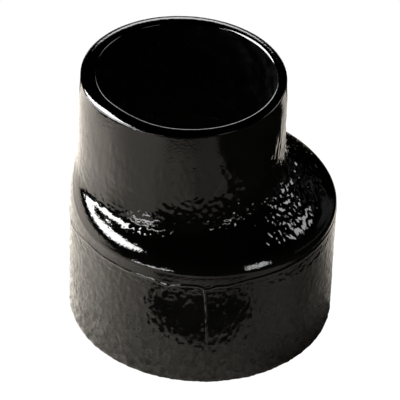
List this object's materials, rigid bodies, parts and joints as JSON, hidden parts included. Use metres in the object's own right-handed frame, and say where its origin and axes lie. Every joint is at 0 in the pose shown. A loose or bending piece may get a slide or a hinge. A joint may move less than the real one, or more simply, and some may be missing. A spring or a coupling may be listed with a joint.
{
  "type": "eccentric pipe reducer",
  "caption": "One-piece cast-iron drain pipe reducer with plain ends, an offset small end, a lofted shoulder and a gloss black coating.",
  "frame": {"origin": "centre of the large end's face, on the large end's axis", "axes": "+Z along the large end's axis towards the small end; the small end's axis is parallel and moved towards -X"},
  "size_m": [0.112, 0.112, 0.117],
  "materials": {
    "iron": "as-cast grey iron",
    "outside_coating": "gloss black bitumen or epoxy film over a rough casting skin",
    "bore_coating": "black bitumen or epoxy film, smoother and duller than outside"
  },
  "bodies": {
    "root": {"iron_casting": "iron", "coating_outside": "outside_coating", "coating_bore": "bore_coating"}
  },
  "joints": []
}
